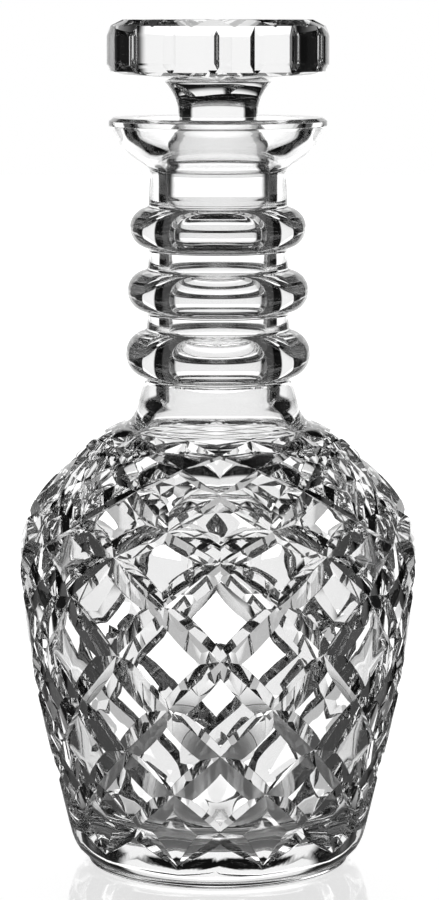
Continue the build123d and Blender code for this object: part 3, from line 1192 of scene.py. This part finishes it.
@dataclass
class Stopper:
    """The cut disc, its drawn-in waist and the ground plug."""

    name: str = "cut_stopper"
    height: float = 253.8
    disc_thickness: float = 16.0
    disc_radius: float = 33.0
    top_bevel: float = 4.8
    foot_bevel_width: float = 3.0
    foot_bevel_rise: float = 2.9
    undercut: float = 1.8
    stem_radius: float = 16.6
    waist_radius: float = 11.75
    waist_height: float = 226.5
    plug_radius: float = 15.4
    plug_top: float = 212.0
    plug_end: float = 190.0
    ground_length: float = 11.5
    plug_taper: float = 0.3
    tip_radius: float = 12.9
    tip_length: float = 6.6
    tip_rounding: float = 1.4
    slope_rounding: float = 0.6
    side_rounding: float = 0.4
    neck_rounding: float = 0.5
    stem_rounding: float = 0.8
    neck_step: float = 1.0
    turn: float = -2.6
    cuts: int = 16
    edge_groove: Point = (4.4, 1.25)
    star_groove: Point = (8.3, 1.9)
    star_centre_depth: float = 0.1
    overrun: float = 1.0
    steps: int = 192
    stem_shares: tuple[Point, ...] = ((0.70, 0.46),)
    throat_shares: tuple[Point, ...] = ((0.08, 0.31), (0.31, 0.43), (0.70, 0.55), (0.94, 0.69))
    top_bevel_shares: tuple[Point, ...] = ((0.77, 0.37),)
    foot_bevel_shares: tuple[Point, ...] = ((0.27, 0.69),)

    def section(self) -> list[Point]:
        """Draws half of the stopper's section, from the middle of the plug's end to the middle of the top."""
        disc_foot = self.height - self.disc_thickness
        stem_head = (self.stem_radius, disc_foot - self.undercut)
        waist = (self.waist_radius, self.waist_height)
        plug_head = (self.plug_radius, self.plug_top)
        side_foot = (self.plug_radius - self.plug_taper, self.plug_top - self.ground_length)
        end_edge = (self.tip_radius, self.plug_end)
        tip_head = (self.tip_radius, self.plug_end + self.tip_length)
        stem = [stem_head] + between(stem_head, waist, self.stem_shares) + [waist]
        throat = between(waist, plug_head, self.throat_shares) + [plug_head]
        neck = smooth_curve(stem + throat, self.neck_step)[::-1]
        foot_edge = (self.disc_radius - self.foot_bevel_width, disc_foot)
        band_foot = (self.disc_radius, disc_foot + self.foot_bevel_rise)
        band_head = (self.disc_radius, self.height - self.top_bevel)
        top_edge = (self.disc_radius - self.top_bevel, self.height)
        run = joined(
            straight((0.0, self.plug_end), end_edge, count=6),
            (straight(end_edge, tip_head, count=4), self.tip_rounding),
            (straight(tip_head, side_foot, count=3), self.slope_rounding),
            (straight(side_foot, plug_head, count=8), self.side_rounding),
            (neck, self.neck_rounding),
            (straight(stem_head, foot_edge, count=6), self.stem_rounding),
        )
        run = run + between(band_foot, foot_edge, self.foot_bevel_shares) + [band_foot, band_head]
        run = run + between(top_edge, band_head, self.top_bevel_shares) + [top_edge]
        return run + straight(top_edge, (0.0, self.height), count=4)[1:]

    def bar(self, groove: Point, length: float, angle: float, place: Matrix) -> BMesh:
        """Makes the bar of one cut.

        Args:
            groove: Width and depth of the cut.
            length: Length of the bar.
            angle: Its turn round the axis, in radians.
            place: Its place at angle 0.

        Returns:
            The bar in its place.
        """
        width, depth = groove
        reach = depth + self.overrun
        bar = v_bar(width / 2 * reach / depth, reach, length)
        bmesh.ops.transform(bar, matrix=Matrix.Rotation(angle, 4, "Z") @ place, verts=bar.verts)
        bmesh.ops.recalc_face_normals(bar, faces=bar.faces)
        return bar

    def cutters(self) -> list[BMesh]:
        """Makes the bars of all the cuts: the upright edge grooves, and the star between them."""
        edge_length = self.disc_thickness + 2 * self.overrun
        edge_foot = self.height - self.disc_thickness - self.overrun
        edge_start = (self.disc_radius - self.edge_groove[1], 0, edge_foot)
        upright = Matrix(((0, 0, 1, 0), (0, 1, 0, 0), (1, 0, 0, 0), (0, 0, 0, 1)))
        edge_place = Matrix.Translation(edge_start) @ upright
        slope = (self.star_groove[1] - self.star_centre_depth) / (self.disc_radius - self.top_bevel)
        star_length = self.disc_radius + 3 * self.overrun
        star_start = (-self.overrun, 0, self.height - self.star_centre_depth + slope * self.overrun)
        star_place = Matrix.Translation(star_start) @ Matrix.Rotation(math.atan(slope), 4, "Y")
        bars = []
        for cut in range(self.cuts):
            angle = 2 * math.pi * cut / self.cuts + math.radians(self.turn)
            bars.append(self.bar(self.edge_groove, edge_length, angle, edge_place))
            bars.append(self.bar(self.star_groove, star_length, angle + math.pi / self.cuts, star_place))
        return bars

    def build(self, material: Material) -> Object:
        """Builds the stopper as one closed skin of glass.

        Args:
            material: The crystal.

        Returns:
            The piece, riding on its body.
        """
        blank = spun(self.section(), 0.0, self.steps)
        bmesh.ops.remove_doubles(blank, verts=blank.verts, dist=WELD)
        bmesh.ops.recalc_face_normals(blank, faces=blank.faces)
        for bar in self.cutters():
            blank = carve(blank, bar)
        bmesh.ops.remove_doubles(blank, verts=blank.verts, dist=WELD)
        piece = piece_from(self.name, blank, material)
        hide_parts("stopper")
        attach(piece, Body.STOPPER.value)
        return piece


def carve(blank: BMesh, cutter: BMesh) -> BMesh:
    """Takes a cutter away from a blank and frees both.

    Args:
        blank: Closed mesh that is cut.
        cutter: Closed mesh that is taken away.

    Returns:
        What is left.
    """
    glass = new_object("blank", blank)
    wheel = new_object("cutter", cutter)
    cut = glass.modifiers.new("cut", "BOOLEAN")
    cut.operation = "DIFFERENCE"
    cut.solver = "MANIFOLD"
    cut.object = wheel
    evaluated = glass.evaluated_get(bpy.context.evaluated_depsgraph_get())
    result = bmesh.new()
    result.from_mesh(evaluated.to_mesh())
    evaluated.to_mesh_clear()
    for item in (glass, wheel):
        data = item.data
        bpy.data.objects.remove(item)
        bpy.data.meshes.remove(data)
    return result


# Studio


@dataclass
class Studio:
    """The glossy table, the light panels round it and the camera."""

    panels: tuple[LightPanel, ...] = (
        LightPanel(0.0, 32.0, -40.0, 20.0, 1.0),
        LightPanel(90.0, 32.0, -40.0, 24.0, 1.0, bounced=0.06),
        LightPanel(-90.0, 32.0, -40.0, 24.0, 1.0, bounced=0.06),
        LightPanel(180.0, 32.0, -40.0, 24.0, 1.0, bounced=0.06),
    )
    dark_level: float = 0.002
    table_half_width: float = 4.0
    table_drop: float = 0.00005
    lens: float = 126.8
    sensor_width: float = 36.0
    camera_place: tuple[float, float, float] = (0.00045, -0.9469, 0.2566)
    camera_tilt: float = 82.097
    glass_bounces: int = 32
    mirror_bounces: int = 24

    def set_rendering(self) -> None:
        """Lets light pass through many layers of glass, and shows colours as they are written."""
        scene = bpy.context.scene
        scene.view_settings.view_transform = "Standard"
        scene.cycles.max_bounces = self.glass_bounces
        scene.cycles.transmission_bounces = self.glass_bounces
        scene.cycles.glossy_bounces = self.mirror_bounces

    def build_world(self, group: NodeTree) -> None:
        """Makes the world: white to the camera, and the light panels on darkness beyond the glass."""
        world = bpy.data.worlds.new("studio")
        world.use_nodes = True
        bpy.context.scene.world = world
        bench = NodeBench(world.node_tree)
        background = world.node_tree.nodes["Background"]
        x, y, z = bench.coordinates("Generated")
        azimuth = bench.azimuth(x, y)
        elevation = bench.product(bench.math("ARCSINE", z), DEGREES)
        path = bench.add("ShaderNodeLightPath").outputs
        clean = clean_path(bench, path)
        level = panel_level(bench, group, self.panels, azimuth, elevation, clean, self.dark_level)
        strength = bench.math("MAXIMUM", level, path["Is Camera Ray"])
        bench.fill(background, {"Color": WHITE, "Strength": strength})

    def build_table(self, material: Material) -> Object:
        """Makes the table top, just under the foot."""
        mesh = bmesh.new()
        bmesh.ops.create_grid(mesh, x_segments=1, y_segments=1, size=self.table_half_width)
        bmesh.ops.translate(mesh, verts=mesh.verts, vec=(0, 0, -self.table_drop))
        table = new_object("table", mesh)
        table.data.materials.append(material)
        return table

    def build_camera(self) -> None:
        """Places the camera at the photograph's viewing angle."""
        data = bpy.data.cameras.new("camera")
        data.lens = self.lens
        data.sensor_width = self.sensor_width
        camera = bpy.data.objects.new("camera", data)
        camera.location = self.camera_place
        camera.rotation_euler = (math.radians(self.camera_tilt), 0.0, 0.0)
        bpy.context.scene.collection.objects.link(camera)
        bpy.context.scene.camera = camera


def main() -> None:
    """Builds the decanter and the studio."""
    logging.basicConfig(level=logging.INFO, format="%(name)s %(message)s")
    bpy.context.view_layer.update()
    studio = Studio()
    studio.set_rendering()
    crystal = PolishedCrystal().build()
    for maker in (Bottle(), Stopper()):
        piece = maker.build(crystal)
        LOG.info("built %s with %d faces", piece.name, len(piece.data.polygons))
    group = panel_group()
    studio.build_world(group)
    # The table paints the light of these low panels as a glow that the glass sees.
    low_panels = [panel for panel in studio.panels if panel.low < 0]
    studio.build_table(GlossyTable().build(group, low_panels))
    studio.build_camera()


if __name__ == "__main__":
    main()
